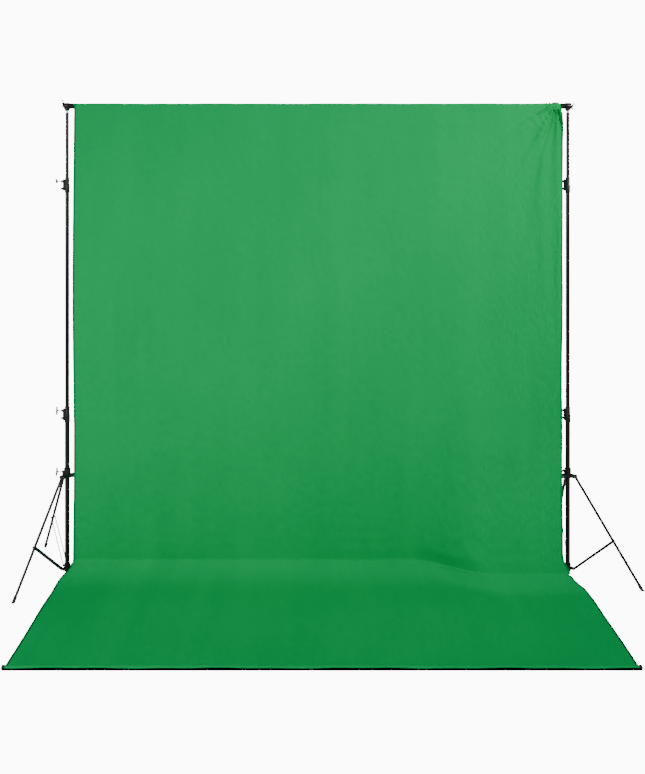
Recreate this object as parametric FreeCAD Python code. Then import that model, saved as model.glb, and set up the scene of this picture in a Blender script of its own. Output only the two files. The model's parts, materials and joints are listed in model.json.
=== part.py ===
"""Background support system: two folding light stands, a crossbar in four sections and a hung cloth.

+Z is up. +X runs along the crossbar from the left stand to the right stand, and the cloth comes forward
over the floor towards -Y. The origin is on the floor at the middle of the whole footprint.
All sizes are in millimetres.
"""
import FreeCAD, Part
import math
import os

Vector = FreeCAD.Vector
UP = Vector(0, 0, 1)

# ---- overall sizes
STAND_SPACING = 3000.0            # between the two column axes
BAR_HEIGHT = 2790.0               # crossbar axis above the floor

# ---- fits
GLUE_FIT = 0.03                   # radial, pieces fixed to each other
SLIDE_FIT = 0.25                  # radial, tube sliding in a plastic sleeve
PIVOT_FIT = 0.05                  # radial, rivet in its hole
AIR = 0.3                         # gap between bodies that only pass each other

# ---- columns
BASE_R, MIDDLE_R, TOP_R = 14.0, 12.0, 10.0
TUBE_WALL = 1.3
BASE_TUBE_BOTTOM = 14.0
LOWER_CLAMP_Z = 898.0             # underside of the lower clamp
UPPER_CLAMP_Z = 2272.0            # underside of the upper clamp
MIDDLE_TUBE_BOTTOM = 830.0
TOP_TUBE_BOTTOM = 2200.0

# ---- clamps
CLAMP_STEP = 45.0                 # height of each of the two stacked sleeves
CLAMP_WALL = 2.6
CLAMP_SPINE = (25.0, 14.0, 11.0)  # reach from the axis, width, distance kept from each end
CLAMP_BOSS_RISE = 22.0            # bosses above and below the clamp's middle
CLAMP_BOSS = (20.0, 38.0, 8.5, 5.0)   # inner reach, outer reach, root radius, tip radius

# ---- T knobs
SCREW_R = 2.5
KNOB_REACH = 61.0                 # handle's centre line from the column axis
KNOB_LENGTH = 50.0
KNOB_R = 5.5
KNOB_NECK = 9.0

# ---- leg hub, which slides on the base tube
HUB_Z = 565.0
HUB_HEIGHT = 55.0
HUB_WALL = 5.7
HUB_PIVOT_R = 45.0
HUB_PIVOT_Z = 578.0
HUB_SCREW_Z = 600.0
HUB_BOSS_REACH = 31.0
CLEVIS_PLATE = 4.0
CLEVIS_HALF_HEIGHT = 10.0

# ---- bottom hub, fixed on the base tube
BOTTOM_HUB_Z = 8.0
BOTTOM_HUB_HEIGHT = 42.0
BOTTOM_HUB_WALL = 4.6
BOTTOM_PIVOT_R = 38.0
BOTTOM_PIVOT_Z = 27.0
LUG_HALF_WIDTH = 10.0
LUG_HALF_HEIGHT = 6.0

# ---- legs, feet and struts
LEG_R = 8.0
LEG_WALL = 1.0
LEG_HEAD = 9.0                    # tube past its pivot
FOOT_SPREAD = 430.0               # foot's centre from the column axis, legs open
FOOT_WALL = 2.0                   # rubber round the leg
FOOT_COVER = 36.0                 # rubber cap along the leg
FOOT_SOLID = 22.0                 # cap below the tube's end
STRUT_JOINT = 400.4               # strut's pivot along the leg
STRUT_THICK = 2.5
STRUT_HALF_WIDTH = 6.0
RIVET_R = 2.5
RIVET_HEAD_R = 4.2
RIVET_HEAD = 1.5

# ---- which way each stand's pieces face, in degrees from +X
LEG_AZIMUTHS = {"left": (5.0, 125.0, 245.0), "right": (85.0, 205.0, 325.0)}
HUB_KNOB = {"left": (185.0, 25.0), "right": (145.0, 0.0)}          # azimuth, turn of the handle
LOWER_KNOB = {"left": (184.0, 5.0), "right": (165.0, 0.0)}
UPPER_KNOB = {"left": (202.0, 62.0), "right": (165.0, 10.0)}

# ---- spigots and crossbar ends
SPIGOT_R = 8.0
SPIGOT_SHANK = 60.0               # spigot inside the top tube
SPIGOT_GAP = 12.0                 # bare spigot between the top tube and the socket
SPIGOT_TOP = 16.0                 # spigot above the bar axis
SOCKET_DROP = 28.0                # socket's mouth below the bar axis
SOCKET_R = 14.0
SOCKET_BODY_R = 19.5
SOCKET_OUT = 17.0                 # casting outboard of the column axis
SOCKET_IN = 14.0                  # casting inboard of the column axis
SLEEVE_END = 44.0                 # sleeve over the bar, from the column axis
SLEEVE_WALL = 2.5
WING_SCREW = {"left": (240.0, 12.0, 0.0), "right": (0.0, -2.0, 48.0)}   # azimuth, height, turn
WING_SPAN = 26.0                  # blade tip from the screw's axis
WING_THICK = 3.0
WING_HUB_R = 6.0
WING_HUB = 10.0
WING_STANDOFF = 4.0               # bare screw between the casting and the wing's hub

# ---- crossbar
BAR_R = 14.0
BAR_WALL = 1.5
BAR_SECTIONS = 4
COUPLER_LENGTH = 60.0             # reduced end inside the next section

# ---- cloth
CLOTH = 1.0                       # thickness of the solid
POCKET_AIR = 0.5                  # pocket off the bar
CLOTH_LEFT = -1459.0              # hanging edges, from the middle of the bar
CLOTH_RIGHT = 1465.0
FRONT_LEFT = -1492.0              # corners on the floor
FRONT_RIGHT = 1534.0
FRONT_Y = -1030.0                 # where the front hem starts
HEM_R = 11.5
SEAM_DROP = 50.0                  # pocket seam below the bar axis
UPPER_STRIP_Z = 2000.0            # where the hanging cloth is divided
CORNER_TOP_Z = 150.0
CORNER_R = 60.0
CORNER_FRONT_Y = -260.0           # where the cloth lies flat
TOE_Z = 55.0                      # height of the turn, from where it slopes down to the floor
SLANT_TOP_Z = 870.0               # the cloth leans forward below this, over the right stand's leg
SLANT = 0.215
SLANT_R = 45.0
SLANT_FROM_X = 565.0              # plain up to here
SLANT_FULL_X = 1015.0             # leaning fully from here

# ---- worked out
FOOT_R = LEG_R + FOOT_WALL
SIDES = {"left": -1, "right": 1}
HALF_SPACING = STAND_SPACING / 2
SOCKET_MOUTH_Z = BAR_HEIGHT - SOCKET_DROP
TOP_TUBE_TOP = SOCKET_MOUTH_Z - SPIGOT_GAP
LEG_ANGLE = math.degrees(math.atan2(FOOT_SPREAD - HUB_PIVOT_R, HUB_PIVOT_Z))
LEG_LENGTH = math.hypot(FOOT_SPREAD - HUB_PIVOT_R, HUB_PIVOT_Z)
JOINT_R = HUB_PIVOT_R + STRUT_JOINT * math.sin(math.radians(LEG_ANGLE))
JOINT_Z = HUB_PIVOT_Z - STRUT_JOINT * math.cos(math.radians(LEG_ANGLE))
STRUT_ANGLE = math.degrees(math.atan2(JOINT_R - BOTTOM_PIVOT_R, JOINT_Z - BOTTOM_PIVOT_Z))
STRUT_LENGTH = math.hypot(JOINT_R - BOTTOM_PIVOT_R, JOINT_Z - BOTTOM_PIVOT_Z)
STRUT_INNER = max(LUG_HALF_WIDTH, FOOT_R) + AIR + 0.1
CLEVIS_INNER = LEG_R + AIR
CLOTH_BACK_Y = -(BAR_R + POCKET_AIR)


def cylinder(radius, start, end):
    """A round bar from one point to another."""
    axis = end - start
    return Part.makeCylinder(radius, axis.Length, start, axis)


def tube(radius, wall, bottom, top):
    """A round tube on the Z axis."""
    outer = cylinder(radius, Vector(0, 0, bottom), Vector(0, 0, top))
    return outer.cut(cylinder(radius - wall, Vector(0, 0, bottom), Vector(0, 0, top)))


def box(low, high):
    """A block between two corners."""
    size = high - low
    return Part.makeBox(size.x, size.y, size.z, low)


def turned(shape, azimuth):
    """The shape turned about the column's axis."""
    copy = shape.copy()
    copy.rotate(Vector(0, 0, 0), UP, azimuth)
    return copy


def across(radius, reach, x, z):
    """A round bar along Y, the same on both sides of the XZ plane."""
    return cylinder(radius, Vector(x, -reach, z), Vector(x, reach, z))


def rivet(reach, x, z, gap=0.0):
    """A headed rivet along Y whose heads sit outside the reach."""
    head = reach + gap
    shank = across(RIVET_R, head, x, z)
    heads = across(RIVET_HEAD_R, head + RIVET_HEAD, x, z).cut(across(RIVET_HEAD_R, head, x, z))
    return shank.fuse(heads).removeSplitter()


# ---- columns

def base_tube():
    return tube(BASE_R, TUBE_WALL, BASE_TUBE_BOTTOM, LOWER_CLAMP_Z + CLAMP_STEP)


def middle_tube():
    return tube(MIDDLE_R, TUBE_WALL, MIDDLE_TUBE_BOTTOM, UPPER_CLAMP_Z + CLAMP_STEP)


def top_tube():
    return tube(TOP_R, TUBE_WALL, TOP_TUBE_BOTTOM, TOP_TUBE_TOP)


def spigot():
    """Steel stud that the crossbar socket drops onto."""
    shank = cylinder(TOP_R - TUBE_WALL - GLUE_FIT, Vector(0, 0, TOP_TUBE_TOP - SPIGOT_SHANK),
                     Vector(0, 0, TOP_TUBE_TOP))
    stud = cylinder(SPIGOT_R, Vector(0, 0, TOP_TUBE_TOP), Vector(0, 0, BAR_HEIGHT + SPIGOT_TOP))
    return shank.fuse(stud).removeSplitter()


def clamp(outer_r, inner_r, bottom, azimuth):
    """Two stacked sleeves with a spine and two bosses; the knob's screw passes through the upper boss."""
    step = bottom + CLAMP_STEP
    top = step + CLAMP_STEP
    middle = step
    reach, width, margin = CLAMP_SPINE
    inner_reach, outer_reach, root_r, tip_r = CLAMP_BOSS
    body = cylinder(outer_r + CLAMP_WALL, Vector(0, 0, bottom), Vector(0, 0, step))
    body = body.fuse(cylinder(inner_r + CLAMP_WALL, Vector(0, 0, step), Vector(0, 0, top)))
    body = body.fuse(box(Vector(0, -width / 2, bottom + margin), Vector(reach, width / 2, top - margin)))
    for rise in (-CLAMP_BOSS_RISE, CLAMP_BOSS_RISE):
        cone = Part.makeCone(root_r, tip_r, outer_reach - inner_reach, Vector(inner_reach, 0, middle + rise),
                             Vector(1, 0, 0))
        body = body.fuse(cone)
    body = body.cut(cylinder(outer_r + GLUE_FIT, Vector(0, 0, bottom), Vector(0, 0, step)))
    body = body.cut(cylinder(inner_r + SLIDE_FIT, Vector(0, 0, step), Vector(0, 0, top)))
    screw_z = middle + CLAMP_BOSS_RISE
    body = body.cut(cylinder(SCREW_R + PIVOT_FIT, Vector(0, 0, screw_z), Vector(outer_reach, 0, screw_z)))
    return turned(body.removeSplitter(), azimuth)


def t_knob(clamped_r, height, azimuth, turn):
    """Moulded T handle on its screw, which stops just short of the tube that it presses on."""
    handle = KNOB_REACH
    screw = cylinder(SCREW_R, Vector(clamped_r + AIR, 0, 0), Vector(handle, 0, 0))
    neck = cylinder(KNOB_R, Vector(handle - KNOB_NECK, 0, 0), Vector(handle, 0, 0))
    half = KNOB_LENGTH / 2 - KNOB_R
    bar = cylinder(KNOB_R, Vector(handle, 0, -half), Vector(handle, 0, half))
    knob = screw.fuse([neck, bar, Part.makeSphere(KNOB_R, Vector(handle, 0, -half)),
                       Part.makeSphere(KNOB_R, Vector(handle, 0, half))])
    knob.rotate(Vector(0, 0, 0), Vector(1, 0, 0), turn)
    knob.translate(Vector(0, 0, height))
    return turned(knob, azimuth)


# ---- tripod

def leg_hub(azimuths, knob_azimuth):
    """Collar sliding on the base tube, with a clevis for each leg and a boss for its screw."""
    outer_r = BASE_R + HUB_WALL
    body = cylinder(outer_r, Vector(0, 0, HUB_Z), Vector(0, 0, HUB_Z + HUB_HEIGHT))
    half = CLEVIS_INNER + CLEVIS_PLATE
    low_z, high_z = HUB_PIVOT_Z - CLEVIS_HALF_HEIGHT, HUB_PIVOT_Z + CLEVIS_HALF_HEIGHT
    for azimuth in azimuths:
        block = box(Vector(0, -half, low_z), Vector(HUB_PIVOT_R, half, high_z))
        block = block.fuse(across(CLEVIS_HALF_HEIGHT, half, HUB_PIVOT_R, HUB_PIVOT_Z))
        gap = box(Vector(outer_r + AIR, -CLEVIS_INNER, low_z - 1),
                  Vector(HUB_PIVOT_R + 2 * CLEVIS_HALF_HEIGHT, CLEVIS_INNER, high_z + 1))
        block = block.cut(gap).cut(across(RIVET_R + GLUE_FIT, half, HUB_PIVOT_R, HUB_PIVOT_Z))
        body = body.fuse(turned(block, azimuth))
    boss = Part.makeCone(KNOB_R + 4, KNOB_R + 1, HUB_BOSS_REACH - BASE_R, Vector(BASE_R, 0, HUB_SCREW_Z),
                         Vector(1, 0, 0))
    body = body.fuse(turned(boss, knob_azimuth))
    body = body.cut(cylinder(BASE_R + SLIDE_FIT, Vector(0, 0, HUB_Z - 1), Vector(0, 0, HUB_Z + HUB_HEIGHT + 1)))
    hole = cylinder(SCREW_R + PIVOT_FIT, Vector(0, 0, HUB_SCREW_Z), Vector(HUB_BOSS_REACH + 1, 0, HUB_SCREW_Z))
    return body.cut(turned(hole, knob_azimuth)).removeSplitter()


def bottom_hub(azimuths):
    """Cap fixed on the foot of the base tube, with a lug for each strut."""
    outer_r = BASE_R + BOTTOM_HUB_WALL
    body = cylinder(outer_r, Vector(0, 0, BOTTOM_HUB_Z), Vector(0, 0, BOTTOM_HUB_Z + BOTTOM_HUB_HEIGHT))
    for azimuth in azimuths:
        lug = box(Vector(0, -LUG_HALF_WIDTH, BOTTOM_PIVOT_Z - LUG_HALF_HEIGHT),
                  Vector(BOTTOM_PIVOT_R, LUG_HALF_WIDTH, BOTTOM_PIVOT_Z + LUG_HALF_HEIGHT))
        lug = lug.fuse(across(LUG_HALF_HEIGHT, LUG_HALF_WIDTH, BOTTOM_PIVOT_R, BOTTOM_PIVOT_Z))
        lug = lug.cut(across(RIVET_R + GLUE_FIT, LUG_HALF_WIDTH, BOTTOM_PIVOT_R, BOTTOM_PIVOT_Z))
        body = body.fuse(turned(lug, azimuth))
    socket = cylinder(BASE_R + GLUE_FIT, Vector(0, 0, BASE_TUBE_BOTTOM),
                      Vector(0, 0, BOTTOM_HUB_Z + BOTTOM_HUB_HEIGHT))
    return body.cut(socket).removeSplitter()


def along_leg(distance):
    """A point on the leg's centre line, measured from its pivot towards the foot."""
    angle = math.radians(LEG_ANGLE)
    return Vector(HUB_PIVOT_R + distance * math.sin(angle), 0, HUB_PIVOT_Z - distance * math.cos(angle))


def leg():
    start, end = along_leg(-LEG_HEAD), along_leg(LEG_LENGTH - FOOT_SOLID)
    body = cylinder(LEG_R, start, end).cut(cylinder(LEG_R - LEG_WALL, start, end))
    return body.cut(across(RIVET_R + PIVOT_FIT, LEG_R, HUB_PIVOT_R, HUB_PIVOT_Z))


def foot():
    """Rubber cap on the leg's end, worn flat by the floor."""
    tip = FOOT_R * math.tan(math.radians(LEG_ANGLE)) + 1
    body = cylinder(FOOT_R, along_leg(LEG_LENGTH - FOOT_COVER), along_leg(LEG_LENGTH + tip))
    body = body.cut(cylinder(LEG_R + GLUE_FIT, along_leg(LEG_LENGTH - FOOT_COVER),
                             along_leg(LEG_LENGTH - FOOT_SOLID)))
    below = box(Vector(0, -2 * FOOT_R, -4 * FOOT_R), Vector(FOOT_SPREAD + 4 * FOOT_R, 2 * FOOT_R, 0))
    return body.cut(below)


def strut():
    """Twin flat bars from the bottom hub to the leg, each with a stud that ends just off the leg."""
    bars = []
    for side in (-1, 1):
        near, far = side * STRUT_INNER, side * (STRUT_INNER + STRUT_THICK)
        low_y, high_y = min(near, far), max(near, far)
        bar = box(Vector(-STRUT_HALF_WIDTH, low_y, 0), Vector(STRUT_HALF_WIDTH, high_y, STRUT_LENGTH))
        for height in (0, STRUT_LENGTH):
            bar = bar.fuse(cylinder(STRUT_HALF_WIDTH, Vector(0, low_y, height), Vector(0, high_y, height)))
        bar = bar.cut(cylinder(RIVET_R + PIVOT_FIT, Vector(0, low_y, 0), Vector(0, high_y, 0)))
        stud = cylinder(RIVET_R, Vector(0, side * (LEG_R + AIR), STRUT_LENGTH), Vector(0, near, STRUT_LENGTH))
        head = cylinder(RIVET_HEAD_R, Vector(0, far, STRUT_LENGTH),
                        Vector(0, far + side * RIVET_HEAD, STRUT_LENGTH))
        bars.append(bar.fuse([stud, head]).removeSplitter())
    pair = Part.makeCompound(bars)
    pair.rotate(Vector(0, 0, 0), Vector(0, 1, 0), STRUT_ANGLE)
    pair.translate(Vector(BOTTOM_PIVOT_R, 0, BOTTOM_PIVOT_Z))
    return pair


def hub_rivet():
    return rivet(CLEVIS_INNER + CLEVIS_PLATE, HUB_PIVOT_R, HUB_PIVOT_Z)


def bottom_rivet():
    return rivet(STRUT_INNER + STRUT_THICK, BOTTOM_PIVOT_R, BOTTOM_PIVOT_Z, AIR)


# ---- crossbar

def socket(side):
    """Casting at the bar's end: a socket over the spigot and a sleeve round the bar."""
    inward = -SIDES[side]
    azimuth, height, _ = WING_SCREW[side]
    bar = Vector(0, 0, BAR_HEIGHT)
    body = cylinder(SOCKET_BODY_R, bar - Vector(inward * SOCKET_OUT, 0, 0), bar + Vector(inward * SOCKET_IN, 0, 0))
    sleeve_end = bar + Vector(inward * SLEEVE_END, 0, 0)
    body = body.fuse(cylinder(BAR_R + SLEEVE_WALL, bar, sleeve_end))
    body = body.fuse(cylinder(SOCKET_R, Vector(0, 0, SOCKET_MOUTH_Z), bar))
    body = body.cut(cylinder(BAR_R + GLUE_FIT, bar + Vector(inward * SOCKET_IN, 0, 0), sleeve_end))
    body = body.cut(cylinder(SPIGOT_R + PIVOT_FIT, Vector(0, 0, SOCKET_MOUTH_Z),
                             bar + Vector(0, 0, SPIGOT_TOP + AIR)))
    hole = cylinder(SCREW_R + PIVOT_FIT, bar + Vector(0, 0, height), bar + Vector(3 * SOCKET_OUT, 0, height))
    return body.cut(turned(hole, azimuth)).removeSplitter()


def socket_reach(side):
    """How far the casting reaches from the column axis along its wing screw."""
    azimuth = math.radians(WING_SCREW[side][0])
    along = SOCKET_OUT / max(abs(math.cos(azimuth)), 1e-6)
    sideways = SOCKET_BODY_R / max(abs(math.sin(azimuth)), 1e-6)
    return min(along, sideways)


def wing_screw(side):
    """Screw with two flat blades that locks the socket to the spigot."""
    azimuth, height, turn = WING_SCREW[side]
    start = socket_reach(side) + WING_STANDOFF
    screw = cylinder(SCREW_R, Vector(SPIGOT_R + AIR, 0, 0), Vector(start + WING_HUB, 0, 0))
    hub = cylinder(WING_HUB_R, Vector(start, 0, 0), Vector(start + WING_HUB, 0, 0))
    root, tip_in, tip_out = start + 1, start + WING_HUB - WING_THICK, start + WING_HUB + WING_THICK
    outline = [(root, -WING_HUB_R), (root, WING_HUB_R), (tip_in, WING_SPAN), (tip_out, WING_SPAN),
               (start + WING_HUB, 0), (tip_out, -WING_SPAN), (tip_in, -WING_SPAN)]
    corners = [Vector(x, 0, z) for x, z in outline]
    plate = Part.Face(Part.makePolygon(corners + corners[:1])).extrude(Vector(0, WING_THICK, 0))
    plate.translate(Vector(0, -WING_THICK / 2, 0))
    knob = screw.fuse([hub, plate]).removeSplitter()
    knob.rotate(Vector(0, 0, 0), Vector(1, 0, 0), turn)
    knob.translate(Vector(0, 0, BAR_HEIGHT + height))
    return turned(knob, azimuth)


def bar_section(index):
    """One length of the crossbar; all but the last end in a reduced coupler."""
    half = HALF_SPACING - SOCKET_IN - AIR
    length = 2 * half / BAR_SECTIONS
    start = Vector(-half + index * length, 0, BAR_HEIGHT)
    end = start + Vector(length, 0, 0)
    bore_r = BAR_R - BAR_WALL
    body = cylinder(BAR_R, start, end)
    if index < BAR_SECTIONS - 1:
        tip = end + Vector(COUPLER_LENGTH, 0, 0)
        body = body.fuse(cylinder(bore_r - GLUE_FIT, end, tip))
        body = body.cut(cylinder(bore_r - BAR_WALL, end - Vector(BAR_WALL, 0, 0), tip))
        return body.cut(cylinder(bore_r, start, end - Vector(BAR_WALL, 0, 0))).removeSplitter()
    return body.cut(cylinder(bore_r, start, end))


# ---- cloth

def wall_y(height, slant):
    """Back face of the hanging cloth at a height."""
    return CLOTH_BACK_Y - slant * max(0.0, SLANT_TOP_Z - height)


def strip_profile(x, slant):
    """Closed outline of the lower hanging strip at one X."""
    heights = (UPPER_STRIP_Z, SLANT_TOP_Z, CORNER_TOP_Z)
    back = [Vector(x, wall_y(z, slant), z) for z in heights]
    front = [point - Vector(0, CLOTH, 0) for point in reversed(back)]
    return Part.makePolygon(back + front + back[:1])


def corner_path(x, slant, radius, inset):
    """Wall, round turn and slope to the floor, one face of the cloth; inset moves to its other face."""
    lean = math.atan(slant)
    up = Vector(0, math.sin(lean), math.cos(lean))
    turn = Vector(x, wall_y(TOE_Z, slant), TOE_Z)
    forward = (Vector(x, CORNER_FRONT_Y, 0) - turn).normalize()
    half = math.acos(up.dot(forward)) / 2
    middle = (up + forward).normalize()
    corner = turn + middle * (inset / math.sin(half))
    bend = radius - inset
    run = bend / math.tan(half)
    centre = corner + middle * (bend / math.sin(half))
    top = corner + up * ((CORNER_TOP_Z - corner.z) / up.z)
    wall_end, floor_start = corner + up * run, corner + forward * run
    front = Vector(x, CORNER_FRONT_Y, inset)
    return top, wall_end, centre - middle * bend, floor_start, front


def corner_profile(x, slant, radius):
    """Closed outline of the cloth's turn from the wall to the floor at one X."""
    edges = []
    under = corner_path(x, slant, radius, 0.0)
    over = corner_path(x, slant, radius, CLOTH)
    edges.append(Part.makeLine(under[0], under[1]))
    edges.append(Part.Arc(under[1], under[2], under[3]).toShape())
    edges.append(Part.makeLine(under[3], under[4]))
    edges.append(Part.makeLine(under[4], over[4]))
    edges.append(Part.makeLine(over[4], over[3]))
    edges.append(Part.Arc(over[3], over[2], over[1]).toShape())
    edges.append(Part.makeLine(over[1], over[0]))
    edges.append(Part.makeLine(over[0], under[0]))
    return Part.Wire(edges)


def ruled(start, end):
    """Sheet between two outlines."""
    return Part.makeLoft([start, end], True, True)


def cloth_lower():
    """Plain on the left, leaning on the right and ruled between."""
    plain = ruled(strip_profile(CLOTH_LEFT, 0.0), strip_profile(SLANT_FROM_X, 0.0))
    between = ruled(strip_profile(SLANT_FROM_X, 0.0), strip_profile(SLANT_FULL_X, SLANT))
    leaning = ruled(strip_profile(SLANT_FULL_X, SLANT), strip_profile(CLOTH_RIGHT, SLANT))
    return plain.fuse([between, leaning]).removeSplitter()


def cloth_corner_left():
    plain = ruled(corner_profile(CLOTH_LEFT, 0.0, CORNER_R), corner_profile(SLANT_FROM_X, 0.0, CORNER_R))
    between = ruled(corner_profile(SLANT_FROM_X, 0.0, CORNER_R), corner_profile(SLANT_FULL_X, SLANT, SLANT_R))
    return plain.fuse(between).removeSplitter()


def cloth_corner_right():
    return ruled(corner_profile(SLANT_FULL_X, SLANT, SLANT_R), corner_profile(CLOTH_RIGHT, SLANT, SLANT_R))


def cloth_upper():
    return box(Vector(CLOTH_LEFT, CLOTH_BACK_Y - CLOTH, UPPER_STRIP_Z),
               Vector(CLOTH_RIGHT, CLOTH_BACK_Y, BAR_HEIGHT - SEAM_DROP))


def cloth_pocket():
    """Rod pocket round the bar, between the two sleeves."""
    reach = HALF_SPACING - SLEEVE_END - AIR
    inner_r = BAR_R + POCKET_AIR
    bar_left, bar_right = Vector(-reach, 0, BAR_HEIGHT), Vector(reach, 0, BAR_HEIGHT)
    front = box(Vector(-reach, CLOTH_BACK_Y - CLOTH, BAR_HEIGHT - SEAM_DROP),
                Vector(reach, CLOTH_BACK_Y, BAR_HEIGHT))
    loop = cylinder(inner_r + CLOTH, bar_left, bar_right).fuse(front)
    return loop.cut(cylinder(inner_r, bar_left, bar_right)).removeSplitter()


def cloth_floor():
    outline = [Vector(CLOTH_LEFT, CORNER_FRONT_Y, 0), Vector(FRONT_LEFT, FRONT_Y, 0),
               Vector(FRONT_RIGHT, FRONT_Y, 0), Vector(CLOTH_RIGHT, CORNER_FRONT_Y, 0)]
    face = Part.Face(Part.makePolygon(outline + outline[:1]))
    return face.extrude(Vector(0, 0, CLOTH))


def cloth_hem():
    """Second rod pocket, lying empty along the front edge."""
    middle_y = FRONT_Y - HEM_R
    return cylinder(HEM_R, Vector(FRONT_LEFT, middle_y, HEM_R), Vector(FRONT_RIGHT, middle_y, HEM_R))


# ---- the whole object

def stand(side):
    """Every piece of one stand, about its own column axis."""
    azimuths = LEG_AZIMUTHS[side]
    lower_azimuth, lower_turn = LOWER_KNOB[side]
    upper_azimuth, upper_turn = UPPER_KNOB[side]
    hub_azimuth, hub_turn = HUB_KNOB[side]
    pieces = {
        "base_tube": base_tube(),
        "middle_tube": middle_tube(),
        "top_tube": top_tube(),
        "top_spigot": spigot(),
        "lower_clamp": clamp(BASE_R, MIDDLE_R, LOWER_CLAMP_Z, lower_azimuth),
        "upper_clamp": clamp(MIDDLE_R, TOP_R, UPPER_CLAMP_Z, upper_azimuth),
        "lower_knob": t_knob(MIDDLE_R, LOWER_CLAMP_Z + CLAMP_STEP + CLAMP_BOSS_RISE, lower_azimuth, lower_turn),
        "upper_knob": t_knob(TOP_R, UPPER_CLAMP_Z + CLAMP_STEP + CLAMP_BOSS_RISE, upper_azimuth, upper_turn),
        "hub_knob": t_knob(BASE_R, HUB_SCREW_Z, hub_azimuth, hub_turn),
        "leg_hub": leg_hub(azimuths, hub_azimuth),
        "bottom_hub": bottom_hub(azimuths),
        "hub_rivets": Part.makeCompound([turned(hub_rivet(), azimuth) for azimuth in azimuths]),
        "bottom_rivets": Part.makeCompound([turned(bottom_rivet(), azimuth) for azimuth in azimuths]),
        "bar_socket": socket(side),
        "wing_screw": wing_screw(side),
    }
    for number, azimuth in enumerate(azimuths, 1):
        pieces[f"leg_{number}"] = turned(leg(), azimuth)
        pieces[f"foot_{number}"] = turned(foot(), azimuth)
        pieces[f"strut_{number}"] = turned(strut(), azimuth)
    return pieces


def build():
    """All nodes by name, placed about the middle of the footprint."""
    nodes = {}
    for side, sign in SIDES.items():
        for name, shape in stand(side).items():
            shape.translate(Vector(sign * HALF_SPACING, 0, 0))
            nodes[f"{side}_{name}"] = shape
    for index in range(BAR_SECTIONS):
        nodes[f"crossbar_{index + 1}"] = bar_section(index)
    nodes["cloth_pocket"] = cloth_pocket()
    nodes["cloth_upper"] = cloth_upper()
    nodes["cloth_lower"] = cloth_lower()
    nodes["cloth_corner_left"] = cloth_corner_left()
    nodes["cloth_corner_right"] = cloth_corner_right()
    nodes["cloth_floor"] = cloth_floor()
    nodes["cloth_front_hem"] = cloth_hem()
    extent = Part.makeCompound(list(nodes.values())).optimalBoundingBox(False, False)
    shift = Vector(-extent.Center.x, -extent.Center.y, 0)
    for shape in nodes.values():
        shape.translate(shift)
    return nodes, shift


NODES, ORIGIN_SHIFT = build()
os.makedirs("parts", exist_ok=True)
for node, solid in NODES.items():
    solid.exportStep(f"parts/{node}.step")
print(f"{len(NODES)} nodes, stands' mid point at {-ORIGIN_SHIFT.x:.2f}, {-ORIGIN_SHIFT.y:.2f}")
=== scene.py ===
"""Green background cloth on two folding light stands, laid out as an add-on and run as a script."""
import json
import math

import bmesh
import bpy
import numpy as np
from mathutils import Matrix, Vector


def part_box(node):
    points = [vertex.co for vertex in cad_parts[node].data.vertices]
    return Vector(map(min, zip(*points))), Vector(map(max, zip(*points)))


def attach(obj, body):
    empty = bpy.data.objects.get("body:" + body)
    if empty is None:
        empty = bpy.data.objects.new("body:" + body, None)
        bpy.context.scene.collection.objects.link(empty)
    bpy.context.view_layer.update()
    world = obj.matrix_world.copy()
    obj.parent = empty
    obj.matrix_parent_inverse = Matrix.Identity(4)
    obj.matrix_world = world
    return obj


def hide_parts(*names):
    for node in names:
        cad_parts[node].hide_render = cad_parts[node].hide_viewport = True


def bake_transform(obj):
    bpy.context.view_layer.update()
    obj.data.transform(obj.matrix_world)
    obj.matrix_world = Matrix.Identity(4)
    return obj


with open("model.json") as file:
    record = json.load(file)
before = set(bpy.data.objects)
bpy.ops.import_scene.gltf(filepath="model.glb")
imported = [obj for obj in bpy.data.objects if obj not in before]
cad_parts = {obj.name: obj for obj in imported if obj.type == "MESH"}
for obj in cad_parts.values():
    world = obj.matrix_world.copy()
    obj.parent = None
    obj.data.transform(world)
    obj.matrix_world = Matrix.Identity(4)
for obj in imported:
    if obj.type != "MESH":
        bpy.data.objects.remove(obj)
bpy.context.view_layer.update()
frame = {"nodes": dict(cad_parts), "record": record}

bl_info = {
    "name": "Background Support",
    "version": (1, 0, 0),
    "blender": (4, 5, 0),
    "location": "View3D > Sidebar > Background",
    "description": "Finishes a green background cloth, its crossbar and its two folding stands",
    "category": "Object",
}

SIDES = ("left", "right")


# ---------------------------------------------------------------- places read from the frame

def middle(node):
    """Centre of a node's box."""
    low, high = (Vector(corner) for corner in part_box(node))
    return (low + high) / 2


def joint(name):
    """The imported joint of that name."""
    return next(entry for entry in frame["record"]["behaviour"]["joints"] if entry["name"] == name)


def column(side):
    """The foot of a column's axis."""
    centre = middle(f"{side}_base_tube")
    return Vector((centre.x, centre.y, 0.0))


MID_X = (column("left").x + column("right").x) / 2
STAND_Y = column("left").y
BAR_Z = middle("crossbar_2").z
BAR_R = (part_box("crossbar_2")[1][2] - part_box("crossbar_2")[0][2]) / 2
CLOTH_LOW, CLOTH_HIGH = (Vector(corner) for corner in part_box("cloth_upper"))
FLOOR_LOW, FLOOR_HIGH = (Vector(corner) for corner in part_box("cloth_floor"))
HEM_LOW, HEM_HIGH = (Vector(corner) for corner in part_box("cloth_front_hem"))
POCKET_LOW, POCKET_HIGH = (Vector(corner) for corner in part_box("cloth_pocket"))
STRIP_Z = CLOTH_LOW.z
CORNER_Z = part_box("cloth_lower")[0][2]
FLAT_WIDTH = 3.0                            # width the cloth was cut to
LAID_FROM = 2.86                            # along the cloth to where it lies on the floor
SEAM_LENGTH = 0.134                         # along the cloth from its back edge to the pocket's seam
THREAD_PITCH = 0.0011                       # weave of the muslin
STITCH_TURN = 1570                          # radians of stitching in a metre
SIDE_HEM = 0.012                            # turned over at the sides, and darkened there as painted shade
EDGE_SHADOW_WIDTH = 0.009                         # width of a painted shadow line along the side edges of the part on the floor
LEAN_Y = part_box("cloth_lower")[0][1]


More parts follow.
